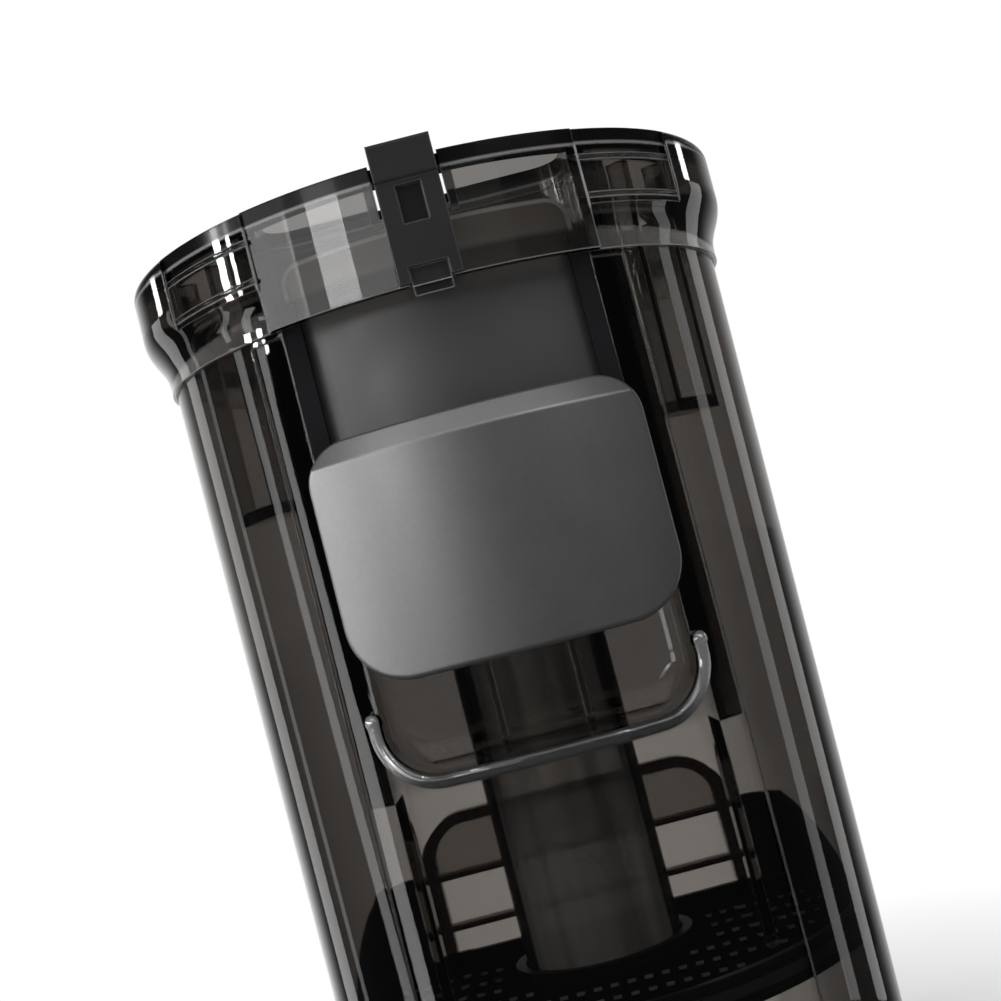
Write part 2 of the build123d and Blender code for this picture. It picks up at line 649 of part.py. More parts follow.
def make_grip_pad():
    """Hollow curved cap with a bevelled top edge and four screw bosses."""
    outline = front_outline(PAD_HALF, PAD_LOW, PAD_TOP, PAD_LOW_CORNER, PAD_TOP_CORNER)
    prism = front_prism(outline, NICHE_BACK, BASE_RADIUS + NICHE_BACK)
    pad = prism & tube(PAD_OUTER, PAD_INNER, PAD_LOW - OVER, PAD_TOP + OVER)
    bevel = Polygon(
        (PAD_OUTER, PAD_TOP - PAD_BEVEL), (PAD_OUTER + OVER, PAD_TOP - PAD_BEVEL),
        (PAD_OUTER + OVER, PAD_TOP + OVER), (PAD_OUTER - 0.6 * PAD_BEVEL, PAD_TOP + OVER),
        (PAD_OUTER - 0.6 * PAD_BEVEL, PAD_TOP), align=None,
    )
    pad = pad - revolve(Plane.XZ * bevel, axis=Axis.Z)
    face_limit = PAD_INNER + PAD_WALL
    front_edges = pad.edges().filter_by(lambda e: hypot(e.center().X, e.center().Y) > face_limit)
    pad = fillet(front_edges, PAD_EDGE)
    inner = front_outline(
        PAD_HALF - PAD_WALL, PAD_LOW + PAD_WALL, PAD_TOP - PAD_WALL - PAD_BEVEL / 2,
        PAD_LOW_CORNER - PAD_WALL, PAD_TOP_CORNER - PAD_WALL,
    )
    hollow = front_prism(inner, NICHE_BACK, BASE_RADIUS + NICHE_BACK)
    pad = pad - (hollow & post(PAD_OUTER - PAD_WALL, PAD_LOW, PAD_TOP))
    bosses = [dowel(SCREW_SEAT - 0.4, -SEAT_FRONT, -PAD_OUTER, x, z) for x, z in screw_places()]
    limit = post(PAD_OUTER - PAD_WALL / 2, PAD_LOW, PAD_TOP)
    for boss in bosses:
        pad = pad + (boss & limit)
    hole_end = SEAT_FRONT + SCREW_BITE + 0.3
    for x, z in screw_places():
        pad = pad - dowel(SCREW_RADIUS + SCREW_FIT, -SEAT_FRONT + OVER, -hole_end, x, z)
    return pad


def make_pad_screws():
    """Four screws from behind the slider into the pad."""
    screws = []
    for x, z in screw_places():
        shank = dowel(SCREW_RADIUS, -SEAT_FRONT - SCREW_BITE, -SEAT_REAR, x, z)
        head = dowel(SCREW_HEAD_RADIUS, -SEAT_REAR, -SEAT_REAR + SCREW_HEAD, x, z)
        recess = dowel(SCREW_RADIUS / 2, -SEAT_REAR + SCREW_HEAD / 2, -SEAT_REAR + 2 * SCREW_HEAD, x, z)
        screws.append(shank + head - recess)
    return Compound(children=[screw.solid() for screw in screws])


def make_latch_bolt():
    """Plate before the band with a sunk window and the tab that stands above the rim."""
    face = BOLT_FRONT - TAB_STEP
    tab = block(-BOLT_HALF, BOLT_HALF, -BOLT_FRONT, -TAB_BACK, TAB_LOW, TAB_TOP)
    tab = fillet(tab.edges().filter_by(Axis.X).sort_by(Axis.Y)[:2], TAB_ROUND)
    tab = chamfer(tab.edges().filter_by(Axis.X).group_by(Axis.Z)[-1].sort_by(Axis.Y)[-1:], TAB_BEVEL)
    bolt = tab + block(-BOLT_HALF, BOLT_HALF, -face, -BOLT_BACK, COLLAR_LOW, TAB_LOW + TAB_HEIGHT / 2)
    high = TAB_LOW - WINDOW_DROP
    low = high - WINDOW_HEIGHT
    bolt = bolt - block(-WINDOW_HALF, WINDOW_HALF, -2 * BASE_RADIUS, -face + WINDOW_DEPTH, low, high)
    return bolt - block(-ARM_HALF, ARM_HALF, -2 * BASE_RADIUS, 0, COLLAR_LOW - OVER, ARM_TOP)


def make_return_spring(side):
    """Coil with ground ends between shelf and slider lug."""
    pitch = SPRING_LENGTH / SPRING_TURNS
    start = (0, 0, -pitch / 2)
    path = Helix(pitch=pitch, height=SPRING_LENGTH + pitch, radius=SPRING_RADIUS, center=start)
    wire = Plane(origin=path @ 0, z_dir=path % 0) * Circle(SPRING_WIRE)
    coil = sweep(wire, path=path, is_frenet=True)
    half = 2 * SPRING_RADIUS
    coil = coil & block(-half, half, -half, half, 0, SPRING_LENGTH)
    return Pos(side * SPRING_X, -SPRING_Y, SHELF_TOP) * coil


PARTS = {
    "tank_shell": make_tank_shell(),
    "top_collar": make_top_collar(),
    "suction_pipe": make_suction_pipe(),
    "pipe_seal": make_pipe_seal(),
    "inlet_gasket": make_inlet_gasket(),
    "strainer_frame": make_strainer_frame(),
    "strainer_screen": make_strainer_screen(),
    "strainer_seal": make_strainer_seal(),
    "strainer_handle": make_strainer_handle(),
    "left_slider_guide": make_slider_guide(-1),
    "right_slider_guide": make_slider_guide(1),
    "latch_slider": make_latch_slider(),
    "grip_pad": make_grip_pad(),
    "pad_screws": make_pad_screws(),
    "latch_bolt": make_latch_bolt(),
    "left_return_spring": make_return_spring(-1),
    "right_return_spring": make_return_spring(1),
}

os.makedirs("parts", exist_ok=True)
for name, shape in PARTS.items():
    export_step(shape, f"parts/{name}.step")
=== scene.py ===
from math import cos, pi, radians, sin

import bpy
from mathutils import Matrix, Vector

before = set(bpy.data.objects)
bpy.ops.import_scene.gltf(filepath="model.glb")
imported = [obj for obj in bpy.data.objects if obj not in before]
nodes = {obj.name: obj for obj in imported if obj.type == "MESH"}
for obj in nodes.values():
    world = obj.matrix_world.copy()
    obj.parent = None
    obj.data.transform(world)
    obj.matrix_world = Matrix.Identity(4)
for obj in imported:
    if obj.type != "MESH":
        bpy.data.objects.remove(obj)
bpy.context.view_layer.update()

scene = bpy.context.scene
scene.view_settings.view_transform = "Standard"

# Light has to pass many walls of clear plastic
scene.cycles.max_bounces = 32
scene.cycles.transmission_bounces = 32
scene.cycles.glossy_bounces = 8

# Camera, fitted to the photograph
CAMERA_PLACE = Vector((0.000305, -0.33315, 0.11608))
CAMERA_YAW = radians(0.320)
CAMERA_PITCH = radians(3.7005)
CAMERA_ROLL = radians(-14.528)
CAMERA_LENS = 57.45
CAMERA_SENSOR = 36.0
CAMERA_CLIP = 0.01

# Smoked plastic; a tint is the share of light that a surface lets through where painted shade darkens it most
SMOKE = (0.10, 0.05, 0.0, 1.0)
SMOKE_DENSITY = 430.0
COLLAR_DENSITY = 420.0
PIPE_DENSITY = 140.0
HANDLE_DENSITY = 980.0
CLEAR_IOR = 1.49
INNER_IOR = 1.06
CLEAR_TINT = (0.94, 1.0)
CLEAR_ROUGHNESS = (0.009, 0.024)
SHELL_TINT = 0.05
COLLAR_TINT = 0.06
PIPE_TINT = 0.03
SIDE_SHADE = 0.36
NICHE_SHADE = 0.50
BAND_SHADE = 0.56
PIPE_STREAK = 0.62

# Skin over the smoked plastic: painted highlights on its edges, a painted pale sheen and metal glints on the
# bead, a near-black painted shade on the flange and a hazy pipe
HAZE_AND_HIGHLIGHT_LOW = (0.56, 0.56, 0.56)
HAZE_AND_HIGHLIGHT_HIGH = (0.64, 0.64, 0.64)
SKIN_ROUGHNESS = 0.15
SKIN_SPECULAR = 0.1
SHELL_EDGE_HIGHLIGHT = 0.12
COLLAR_EDGE_HIGHLIGHT = 0.5
GLINT_MIDDLE = 0.09
GLINT_ENDS = 0.55
BEAD_METAL = 0.6
FLANGE_SHADE_SKIN = 0.95
PIPE_HAZE = 0.56
PIPE_CLEAR = 0.10

# Colours of the other plastics and of steel, then the colours of painted shade, painted glints, painted light
# and painted highlights
RUBBER_BLACK = (0.025, 0.025, 0.027)
GUIDE_BLACK = (0.010, 0.010, 0.011)
STRAINER_BLACK = (0.010, 0.010, 0.012)
SCREEN_BLACK = (0.008, 0.008, 0.010)
LATCH_GREY = (0.036, 0.034, 0.033)
LATCH_BLACK = (0.014, 0.014, 0.015)
PAD_GREY = (0.215, 0.213, 0.215)
STEEL_LOW = (0.50, 0.50, 0.50)
STEEL_HIGH = (0.62, 0.62, 0.61)
STEEL_ROUGHNESS = (0.22, 0.36)
PAINTED_SHADE_BLACK = (0.004, 0.004, 0.004)
SLOT_PAINTED_GLINT = (0.26, 0.26, 0.26)
PANEL_PAINTED_LIGHT = (0.26, 0.25, 0.24)
RIM_PAINTED_HIGHLIGHT = (0.95, 0.95, 0.94)
EDGE_PAINTED_HIGHLIGHT = (0.70, 0.70, 0.70)

# Edges: the rounding that materials show, and the cosines of rounded to plain normals that mark it
EDGE_ROUND = 0.00045
EDGE_SAMPLES = 4
EDGE_TURN = (0.85, 0.995)

# A face counts as facing an axis where its direction has more than this along it
FACING = 0.5

# Noise: the values it mostly takes, its scales per metre, and a grain's scale and strength
NOISE_SPAN = (0.3, 0.7)
CLEAR_TINT_SCALE = 18.0
CLEAR_ROUGHNESS_SCALE = 60.0
HAZE_AND_HIGHLIGHT_SCALE = 90.0
STREAK_SCALE = 160.0
STREAK_STRETCH = (1, 1, 0.02)
SATIN_SCALE = 35.0
FLAKE_SCALE = 900.0
STEEL_SCALE = 400.0
STEEL_ROUGHNESS_SCALE = 700.0
ROUGHNESS_SCALE = 120.0
GRAIN_DEPTH = 0.0001
SATIN_GRAIN = (2600.0, 0.06)
PAINT_GRAIN = (3000.0, 0.03)

# Places on the object with painted shade, painted light and painted highlights, and the pipe's hazy foot, in
# metres
SHELL_SIDE = (0.031, 0.036)
SHELL_UPPER = (0.086, 0.090)
NICHE_WALL = (-0.0335, -0.0260)
NICHE_HALF = 0.0315
NICHE_UPPER = (0.176, 0.179)
PIPE_SIDE = (0.0132, 0.0142)
PIPE_FOOT = (0.046, 0.100)
BODY_RADIUS = 0.055
BODY_SLOPE = 0.0131
BEAD_OUT = (0.0003, 0.0008)
BEAD_ENDS = (0.0220, 0.0330)
FLANGE_UNDER = (0.1925, 0.1935)
BAND_UPPER = (0.1872, 0.1880)
BAND_BACK = -0.050
NICHE_RIM_UNDER = (0.1905, 0.1915)
NICHE_RIM_FRONT = (-0.0345, -0.0335)
BOLT_WINDOW_HALF = 0.0023
BOLT_WINDOW_LOW = 0.1841
BOLT_WINDOW_HIGH = 0.1909
ARM_END_FRONT = -0.0585
PANEL_UPPER = (0.1785, 0.1800)
PANEL_CORNER_AT = (0.0226, 0.1815)
PANEL_RIM = (0.0030, 0.0034)
SLOT_EDGE = 0.0413

# Floor and world, with the directions in which the plastic mirrors the white background
BACKGROUND = (1.0, 1.0, 1.0, 1.0)
STUDIO_FILL = (0.50, 0.50, 0.51, 1.0)
STUDIO_DARK = (0.035, 0.035, 0.037, 1.0)
FLOOR_PALE = (0.86, 0.86, 0.85, 1.0)
FLOOR_ROUGHNESS = 0.8
FLOOR_SIZE = 12.0
FLOOR_FADE = (0.08, 0.19)
FLOOR_GLOW_NEAR = 0.30
BEHIND = (0.70, 0.95)
RIGHT_HAND = (-0.20, 0.40)
RIGHT_HAND_WHITE = 0.55

# Lamps: name, degrees left of the front, degrees up, width and height in metres, brightness
LAMP_AIM = Vector((0, -0.05, 0.13))
LAMP_DISTANCE = 1.0
LAMPS = (
    ("key", 60.0, 12.0, 0.36, 0.60, 3.3),
    ("fill", -45.0, 32.0, 0.50, 0.40, 2.2),
    ("overhead", 10.0, 55.0, 1.10, 0.50, 1.3),
    ("window", 34.0, 15.0, 0.22, 0.22, 8.5),
    ("window_side", 45.5, 15.0, 0.18, 0.22, 1.6),
    ("window_dim", 20.5, 15.0, 0.25, 0.22, 2.2),
    ("window_right", -22.0, 15.0, 0.42, 0.22, 0.15),
    ("streak_inner", 79.5, -4.0, 0.08, 0.62, 2.9),
    ("streak_middle", 91.6, -4.0, 0.06, 0.62, 2.0),
    ("streak_outer", 117.0, -4.0, 0.05, 0.62, 0.8),
    ("streak_limb", 130.0, -4.0, 0.18, 0.62, 1.25),
    ("streak_right", -106.5, -4.0, 0.12, 0.62, 1.0),
    ("ear_streak", 82.0, 17.0, 0.055, 0.19, 50.0),
    ("ear_line", 76.0, 17.0, 0.030, 0.19, 35.0),
    ("streak_limb_right", -128.5, -4.0, 0.17, 0.62, 0.9),
    ("ear_left", 124.0, 16.0, 0.07, 0.07, 9.0),
    ("ear_right", -124.0, 16.0, 0.07, 0.07, 9.0),
    ("spark_left", 45.0, 52.0, 0.08, 0.08, 40.0),
    ("spark_right", -38.0, 50.0, 0.08, 0.08, 30.0),
)


def math_node(tree, operation, first, second=None, clamp=False):
    """Math node on two sockets or numbers; gives its output."""
    node = tree.nodes.new("ShaderNodeMath")
    node.operation = operation
    node.use_clamp = clamp
    for slot, source in enumerate((first, second)):
        if source is None:
            continue
        if isinstance(source, (int, float)):
            node.inputs[slot].default_value = source
        else:
            tree.links.new(source, node.inputs[slot])
    return node.outputs[0]


def size_of(tree, value):
    """A value without its sign."""
    return math_node(tree, "ABSOLUTE", value)


def diagonal(tree, first, second):
    """Length of the diagonal over two lengths."""
    squares = [math_node(tree, "POWER", length, 2.0) for length in (first, second)]
    return math_node(tree, "SQRT", math_node(tree, "ADD", *squares))


def between(tree, source, start, end, low=0.0, high=1.0):
    """Smooth step of a value between two limits; gives its value socket."""
    node = tree.nodes.new("ShaderNodeMapRange")
    node.interpolation_type = "SMOOTHSTEP"
    for key, value in (("From Min", start), ("From Max", end), ("To Min", low), ("To Max", high)):
        node.inputs[key].default_value = value
    tree.links.new(source, node.inputs["Value"])
    return node.outputs["Result"]


def inside(tree, value, low, high):
    """1 where a value lies between two limits, otherwise 0."""
    above = math_node(tree, "GREATER_THAN", value, low)
    below = math_node(tree, "LESS_THAN", value, high)
    return math_node(tree, "MULTIPLY", above, below)


def noise(tree, scale, detail=3.0, stretch=(1, 1, 1)):
    """Noise over the object's own coordinates; gives its value socket."""
    coords = tree.nodes.new("ShaderNodeTexCoord")
    mapping = tree.nodes.new("ShaderNodeMapping")
    mapping.inputs["Scale"].default_value = stretch
    texture = tree.nodes.new("ShaderNodeTexNoise")
    texture.inputs["Scale"].default_value = scale
    texture.inputs["Detail"].default_value = detail
    tree.links.new(coords.outputs["Object"], mapping.inputs["Vector"])
    tree.links.new(mapping.outputs["Vector"], texture.inputs["Vector"])
    return texture.outputs["Fac"]


def ramp(tree, source, low, high):
    """Colour ramp between two colours over a noise; gives its colour socket."""
    node = tree.nodes.new("ShaderNodeValToRGB")
    for element, position, colour in zip(node.color_ramp.elements, NOISE_SPAN, (low, high)):
        element.position = position
        element.color = (*colour, 1.0)
    tree.links.new(source, node.inputs["Fac"])
    return node.outputs["Color"]


def spread(tree, source, low, high):
    """Maps a noise to a range of values; gives its value socket."""
    node = tree.nodes.new("ShaderNodeMapRange")
    node.inputs["From Min"].default_value = NOISE_SPAN[0]
    node.inputs["From Max"].default_value = NOISE_SPAN[1]
    node.inputs["To Min"].default_value = low
    node.inputs["To Max"].default_value = high
    tree.links.new(source, node.inputs["Value"])
    return node.outputs["Result"]


def blend(tree, weight, colour, other):
    """Mixes a colour socket with a fixed colour; gives the colour socket."""
    node = tree.nodes.new("ShaderNodeMix")
    node.data_type = "RGBA"
    tree.links.new(weight, node.inputs["Factor"])
    tree.links.new(colour, node.inputs["A"])
    node.inputs["B"].default_value = (*other, 1.0)
    return node.outputs["Result"]


def mix_shaders(tree, weight, under, over):
    """Mixes a second shader over a first; gives the shader socket."""
    node = tree.nodes.new("ShaderNodeMixShader")
    tree.links.new(weight, node.inputs["Fac"])
    tree.links.new(under, node.inputs[1])
    tree.links.new(over, node.inputs[2])
    return node.outputs["Shader"]


def split_vector(tree, vector):
    """Sockets of a vector's x, y and z."""
    split = tree.nodes.new("ShaderNodeSeparateXYZ")
    tree.links.new(vector, split.inputs["Vector"])
    return split.outputs["X"], split.outputs["Y"], split.outputs["Z"]


def place_parts(tree):
    """Sockets of the place on the object in x, y and z."""
    coords = tree.nodes.new("ShaderNodeTexCoord")
    return split_vector(tree, coords.outputs["Object"])


def normal_parts(tree):
    """Sockets of the face's direction in x, y and z."""
    geometry = tree.nodes.new("ShaderNodeNewGeometry")
    return split_vector(tree, geometry.outputs["True Normal"])


def blank_material(name):
    """Material with only a principled shader and an output; gives it, its tree, shader and output."""
    material = bpy.data.materials.new(name)
    material.use_nodes = True
    tree = material.node_tree
    tree.nodes.clear()
    output = tree.nodes.new("ShaderNodeOutputMaterial")
    shader = tree.nodes.new("ShaderNodeBsdfPrincipled")
    tree.links.new(shader.outputs["BSDF"], output.inputs["Surface"])
    return material, tree, shader, output


def rounded_edges(tree):
    """Normals that are rounded at the edges; gives the normal socket."""
    node = tree.nodes.new("ShaderNodeBevel")
    node.samples = EDGE_SAMPLES
    node.inputs["Radius"].default_value = EDGE_ROUND
    return node.outputs["Normal"]


def edge_mask(tree, rounded):
    """Value that is 1 on sharp edges and 0 on open faces."""
    geometry = tree.nodes.new("ShaderNodeNewGeometry")
    dot = tree.nodes.new("ShaderNodeVectorMath")
    dot.operation = "DOT_PRODUCT"
    tree.links.new(rounded, dot.inputs[0])
    tree.links.new(geometry.outputs["Normal"], dot.inputs[1])
    return math_node(tree, "SUBTRACT", 1.0, between(tree, dot.outputs["Value"], *EDGE_TURN))


def grain(tree, shader, scale, strength):
    """Fine moulded grain as a bump over rounded edges."""
    bump = tree.nodes.new("ShaderNodeBump")
    tree.links.new(rounded_edges(tree), bump.inputs["Normal"])
    bump.inputs["Strength"].default_value = strength
    bump.inputs["Distance"].default_value = GRAIN_DEPTH
    tree.links.new(noise(tree, scale, detail=2.0), bump.inputs["Height"])
    tree.links.new(bump.outputs["Normal"], shader.inputs["Normal"])


def shell_shade(tree):
    """Painted shade on the shell: darker at its sides, above the strainer's space and most on the niche's
    back wall.
    """
    x, y, z = place_parts(tree)
    aside = between(tree, size_of(tree, x), *SHELL_SIDE, 0.0, SIDE_SHADE)
    upper = between(tree, z, *SHELL_UPPER, 0.0, SIDE_SHADE)
    across = inside(tree, x, -NICHE_HALF, NICHE_HALF)
    wall = math_node(tree, "MULTIPLY", inside(tree, y, *NICHE_WALL), across)
    niche = math_node(tree, "MULTIPLY", wall, between(tree, z, *NICHE_UPPER, NICHE_SHADE, 1.0))
    return math_node(tree, "MAXIMUM", niche, math_node(tree, "MAXIMUM", aside, upper))


def shell_bead(tree):
    """The bead beyond the shell's tapered wall: how metallic its skin is, and how strong the skin is, most at
    the ends; the skin is partly a painted pale sheen and partly metal that mirrors the lamps.
    """
    x, y, z = place_parts(tree)
    wall = math_node(tree, "MULTIPLY_ADD", z, BODY_SLOPE)
    wall.node.inputs[2].default_value = BODY_RADIUS
    bead = between(tree, math_node(tree, "SUBTRACT", diagonal(tree, x, y), wall), *BEAD_OUT)
    ends = between(tree, size_of(tree, x), *BEAD_ENDS, GLINT_MIDDLE, GLINT_ENDS)
    return math_node(tree, "MULTIPLY", bead, BEAD_METAL), math_node(tree, "MULTIPLY", bead, ends)


def collar_shade(tree):
    """Painted shade on the collar: dark in its flange and over the niche's back wall, less so high on its
    band.
    """
    _, y, z = place_parts(tree)
    rim_height = between(tree, z, *NICHE_RIM_UNDER)
    rim = math_node(tree, "MULTIPLY", rim_height, between(tree, y, *NICHE_RIM_FRONT))
    dark = math_node(tree, "MAXIMUM", rim, between(tree, z, *FLANGE_UNDER))
    front = math_node(tree, "LESS_THAN", y, BAND_BACK)
    band = math_node(tree, "MULTIPLY", front, between(tree, z, *BAND_UPPER, 0.0, BAND_SHADE))
    return math_node(tree, "MAXIMUM", dark, band)


def collar_flange_painted_shade(tree):
    """The flange's upright outer face, which a near-black skin covers as painted shade."""
    _, _, z = place_parts(tree)
    _, _, upward = normal_parts(tree)
    upright = math_node(tree, "LESS_THAN", size_of(tree, upward), FACING)
    return math_node(tree, "MULTIPLY", upright, between(tree, z, *FLANGE_UNDER))


def pipe_shade(tree):
    """Painted shade on the pipe: dark at its two sides, with painted upright streaks between them that stand
    in for reflections.
    """
    x, _, _ = place_parts(tree)
    upright = noise(tree, STREAK_SCALE, detail=2.0, stretch=STREAK_STRETCH)
    streaks = spread(tree, upright, 0.0, PIPE_STREAK)
    sides = between(tree, size_of(tree, x), *PIPE_SIDE)
    return math_node(tree, "MAXIMUM", streaks, sides)


def pipe_haze(tree):
    """The pipe's haze, not metallic: most at its foot, least in its painted dark sides and streaks."""
    _, _, z = place_parts(tree)
    foot = between(tree, z, *PIPE_FOOT, PIPE_HAZE, 0.0)
    light = between(tree, pipe_shade(tree), 0.0, 1.0, 1.0, PIPE_CLEAR)
    return None, math_node(tree, "MULTIPLY", foot, light)


def skin_over(tree, body, rounded, glint, painted_shade_skin, edge_light):
    """Layer over clear plastic with painted highlights on its edges, shine and haze in places and near-black
    painted shade in others; gives the shader.
    """
    skin = tree.nodes.new("ShaderNodeBsdfPrincipled")
    skin.inputs["Roughness"].default_value = SKIN_ROUGHNESS
    skin.inputs["Specular IOR Level"].default_value = SKIN_SPECULAR
    tree.links.new(rounded, skin.inputs["Normal"])
    colour = ramp(tree, noise(tree, HAZE_AND_HIGHLIGHT_SCALE), HAZE_AND_HIGHLIGHT_LOW, HAZE_AND_HIGHLIGHT_HIGH)
    # Painted highlight on the edges
    weight = math_node(tree, "MULTIPLY", edge_mask(tree, rounded), edge_light)
    if glint:
        metal, shine = glint(tree)
        if metal:
            tree.links.new(metal, skin.inputs["Metallic"])
        weight = math_node(tree, "MAXIMUM", weight, shine)
    # Painted shade: a near-black skin where this mask gives weight
    if painted_shade_skin:
        shade_skin_share = painted_shade_skin(tree)
        colour = blend(tree, shade_skin_share, colour, PAINTED_SHADE_BLACK)
        weight = math_node(tree, "MAXIMUM", weight, math_node(tree, "MULTIPLY", shade_skin_share, FLANGE_SHADE_SKIN))
    tree.links.new(colour, skin.inputs["Base Color"])
    return mix_shaders(tree, weight, body.outputs["BSDF"], skin.outputs["BSDF"])


def smoked_plastic(
    name, density, shade=None, tint=1.0, glint=None, painted_shade_skin=None, edge_light=0.0, ior=CLEAR_IOR
):
    """Smoked clear plastic; painted shade darkens it in places, and a skin with painted highlights and
    painted shade can lie over it.
    """
    material, tree, shader, output = blank_material(name)
    colour = spread(tree, noise(tree, CLEAR_TINT_SCALE), *CLEAR_TINT)
    # Painted shade darkens the tint in places
    if shade:
        colour = math_node(tree, "MULTIPLY", between(tree, shade(tree), 0.0, 1.0, 1.0, tint), colour)
    tree.links.new(colour, shader.inputs["Base Color"])
    roughness = spread(tree, noise(tree, CLEAR_ROUGHNESS_SCALE), *CLEAR_ROUGHNESS)
    tree.links.new(roughness, shader.inputs["Roughness"])
    shader.inputs["Transmission Weight"].default_value = 1.0
    shader.inputs["IOR"].default_value = ior
    rounded = rounded_edges(tree)
    tree.links.new(rounded, shader.inputs["Normal"])
    if glint or painted_shade_skin or edge_light:
        surface = skin_over(tree, shader, rounded, glint, painted_shade_skin, edge_light)
        tree.links.new(surface, output.inputs["Surface"])
    smoke = tree.nodes.new("ShaderNodeVolumeAbsorption")
    smoke.inputs["Color"].default_value = SMOKE
    smoke.inputs["Density"].default_value = density
    tree.links.new(smoke.outputs["Volume"], output.inputs["Volume"])
    return material


def bolt_window(tree):
    """The sunk window in the bolt's plate, which gets near-black painted shade."""
    x, _, z = place_parts(tree)
    across = inside(tree, x, -BOLT_WINDOW_HALF, BOLT_WINDOW_HALF)
    return math_node(tree, "MULTIPLY", across, inside(tree, z, BOLT_WINDOW_LOW, BOLT_WINDOW_HIGH))


def arm_end(tree):
    """The end of the slider's arm in front of the band, which gets near-black painted shade."""
    _, y, _ = place_parts(tree)
    return math_node(tree, "LESS_THAN", y, ARM_END_FRONT)


def panel_upper(tree):
    """The part of the slider's panel that stays behind the band, which gets painted light."""
    _, _, z = place_parts(tree)
    return between(tree, z, *PANEL_UPPER)


def panel_rim_highlight(tree):
    """The rounded upper rim of the slider's panel, which gets a painted highlight."""
    x, _, z = place_parts(tree)
    corner_x, corner_z = PANEL_CORNER_AT
    past_side = math_node(tree, "SUBTRACT", size_of(tree, x), corner_x)
    past_top = math_node(tree, "SUBTRACT", z, corner_z)
    aside, above = (math_node(tree, "MAXIMUM", past, 0.0) for past in (past_side, past_top))
    rim = between(tree, diagonal(tree, aside, above), *PANEL_RIM)
    return math_node(tree, "MULTIPLY", rim, panel_upper(tree))


def slot_walls(tree):
    """The upper part of the strainer slots' end walls that face the front, which get painted glints."""
    _, forward, _ = normal_parts(tree)
    _, _, z = place_parts(tree)
    front = math_node(tree, "LESS_THAN", forward, -FACING)
    return math_node(tree, "MULTIPLY", front, math_node(tree, "GREATER_THAN", z, SLOT_EDGE))


def shades_of(colour, share):
    """A colour made darker and lighter by a share."""
    return [tuple(factor * part for part in colour) for factor in (1.0 - share, 1.0 + share)]


def uneven_roughness(tree, shader, roughness, share):
    """Roughness that goes down and up by a share over the surface."""
    low, high = roughness * (1.0 - share), roughness * (1.0 + share)
    tree.links.new(spread(tree, noise(tree, ROUGHNESS_SCALE), low, high), shader.inputs["Roughness"])


def satin_plastic(name, colour, roughness, patches=(), edge_light=0.0, specular=0.5):
    """Moulded plastic with a fine grain, painted highlights on its edges and, in places, painted light,
    painted highlights and painted shade.
    """
    material, tree, shader, _ = blank_material(name)
    base = ramp(tree, noise(tree, SATIN_SCALE), *shades_of(colour, share=0.06))
    # Painted light, highlights and shade in places
    for patch, patch_colour in patches:
        base = blend(tree, patch(tree), base, patch_colour)
    # Painted highlight on the edges
    if edge_light:
        edges = math_node(tree, "MULTIPLY", edge_mask(tree, rounded_edges(tree)), edge_light)
        base = blend(tree, edges, base, EDGE_PAINTED_HIGHLIGHT)
    tree.links.new(base, shader.inputs["Base Color"])
    uneven_roughness(tree, shader, roughness, share=0.1)
    shader.inputs["Specular IOR Level"].default_value = specular
    grain(tree, shader, *SATIN_GRAIN)
    return material


def metal_paint(name, colour, roughness, metallic):
    """Grey paint with metal flake."""
    material, tree, shader, _ = blank_material(name)
    flakes = ramp(tree, noise(tree, FLAKE_SCALE), *shades_of(colour, share=0.03))
    tree.links.new(flakes, shader.inputs["Base Color"])
    uneven_roughness(tree, shader, roughness, share=0.05)
    shader.inputs["Metallic"].default_value = metallic
    grain(tree, shader, *PAINT_GRAIN)
    return material


def drawn_steel(name):
    """Bare steel of the wire and the screws."""
    material, tree, shader, _ = blank_material(name)
    colour = ramp(tree, noise(tree, STEEL_SCALE), STEEL_LOW, STEEL_HIGH)
    tree.links.new(colour, shader.inputs["Base Color"])
    roughness = spread(tree, noise(tree, STEEL_ROUGHNESS_SCALE), *STEEL_ROUGHNESS)
    tree.links.new(roughness, shader.inputs["Roughness"])
    shader.inputs["Metallic"].default_value = 1.0
    return material


def paint(material, *names):
    """Gives CAD nodes a material in all their slots."""
    for name in names:
        for slot in nodes[name].material_slots:
            slot.material = material


def paint_tank():
    """Materials of the smoked tank and of what is fixed or rests in it."""
    shell = smoked_plastic(
        "smoked_shell", SMOKE_DENSITY, shell_shade, SHELL_TINT, shell_bead, edge_light=SHELL_EDGE_HIGHLIGHT
    )
    paint(shell, "tank_shell")
    collar = smoked_plastic(
        "smoked_collar", COLLAR_DENSITY, collar_shade, COLLAR_TINT, painted_shade_skin=collar_flange_painted_shade, edge_light=COLLAR_EDGE_HIGHLIGHT
    )
    paint(collar, "top_collar")
    pipe = smoked_plastic("smoked_pipe", PIPE_DENSITY, pipe_shade, PIPE_TINT, pipe_haze, ior=INNER_IOR)
    paint(pipe, "suction_pipe")
    paint(smoked_plastic("smoked_dark", HANDLE_DENSITY, ior=INNER_IOR), "strainer_handle")
    rubber = satin_plastic("seal_rubber", RUBBER_BLACK, roughness=0.6)
    paint(rubber, "pipe_seal", "inlet_gasket", "strainer_seal")
    guide = satin_plastic("guide_black", GUIDE_BLACK, roughness=0.40, specular=0.0)
    paint(guide, "left_slider_guide", "right_slider_guide")
    strainer = satin_plastic("strainer_black", STRAINER_BLACK, roughness=0.34, edge_light=0.03, specular=0.1)
    paint(strainer, "strainer_frame")
    # Painted glints on the slots' walls
    slot_glints = [(slot_walls, SLOT_PAINTED_GLINT)]
    screen = satin_plastic("screen_black", SCREEN_BLACK, roughness=0.34, patches=slot_glints, specular=0.0)
    paint(screen, "strainer_screen")


